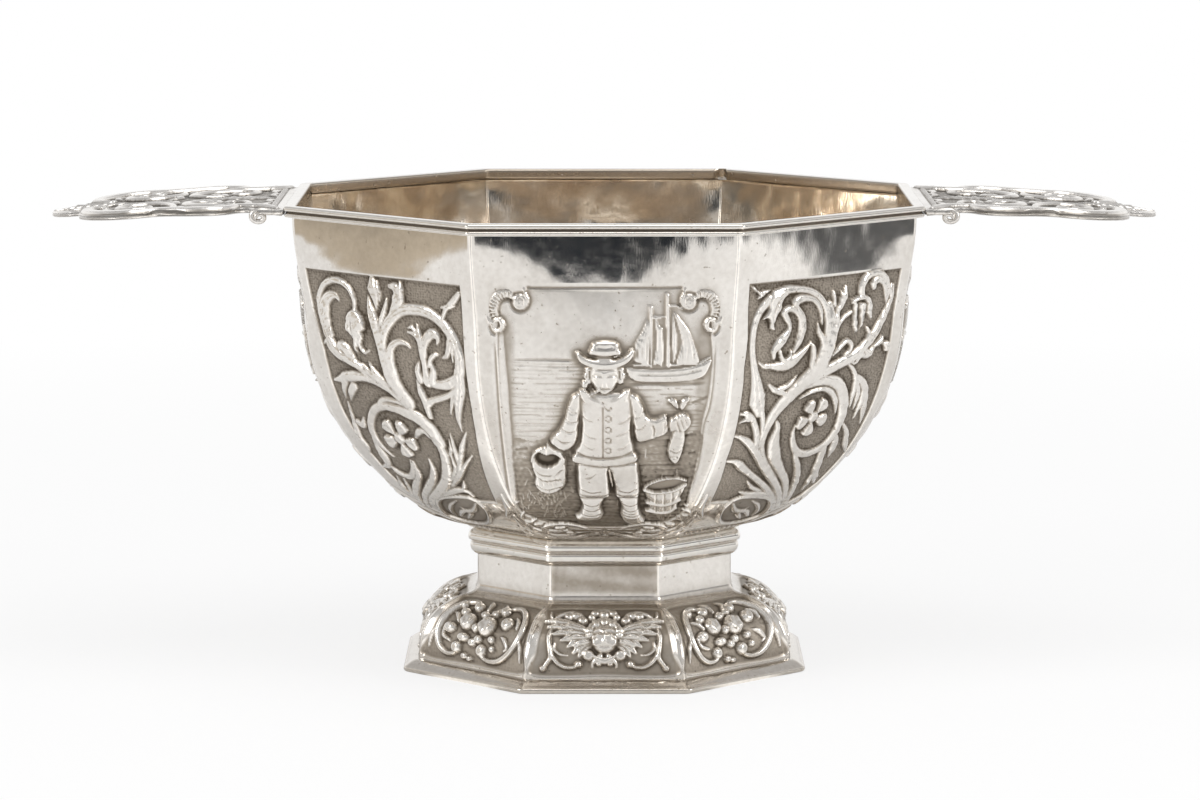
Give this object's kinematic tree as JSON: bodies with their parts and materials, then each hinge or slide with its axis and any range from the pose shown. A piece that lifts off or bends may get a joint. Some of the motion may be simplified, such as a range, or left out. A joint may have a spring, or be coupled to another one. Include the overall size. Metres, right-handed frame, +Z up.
{
  "type": "handled bowl",
  "caption": "Octagonal silver brandy bowl on a flared foot, with chased scene and foliage panels, a beaded rim wire and flat shaped handles.",
  "frame": {"origin": "middle of the base's underside, on the surface that the bowl stands on", "axes": "+X to the handle at the viewer's right when the front side faces the viewer, +Y to the back, +Z up"},
  "size_m": [0.24, 0.136, 0.102],
  "materials": {
    "chased_silver": "chased silver, bright on the raised work and darkened in the ground",
    "polished_silver": "polished silver with light wear",
    "cast_silver": "cast and chased silver, bright straps over a darkened ground"
  },
  "bodies": {
    "root": {"wall_panel_front": "chased_silver", "wall_panel_front_right": "chased_silver", "wall_panel_right": "chased_silver", "wall_panel_back_right": "chased_silver", "wall_panel_back": "chased_silver", "wall_panel_back_left": "chased_silver", "wall_panel_left": "chased_silver", "wall_panel_front_left": "chased_silver", "bowl_floor": "polished_silver", "rim_wire": "polished_silver", "handle_left": "cast_silver", "handle_right": "cast_silver", "collar_moulding": "polished_silver", "foot_panel_front": "chased_silver", "foot_panel_front_right": "chased_silver", "foot_panel_right": "chased_silver", "foot_panel_back_right": "chased_silver", "foot_panel_back": "chased_silver", "foot_panel_back_left": "chased_silver", "foot_panel_left": "chased_silver", "foot_panel_front_left": "chased_silver", "base_moulding": "polished_silver"}
  },
  "joints": []
}
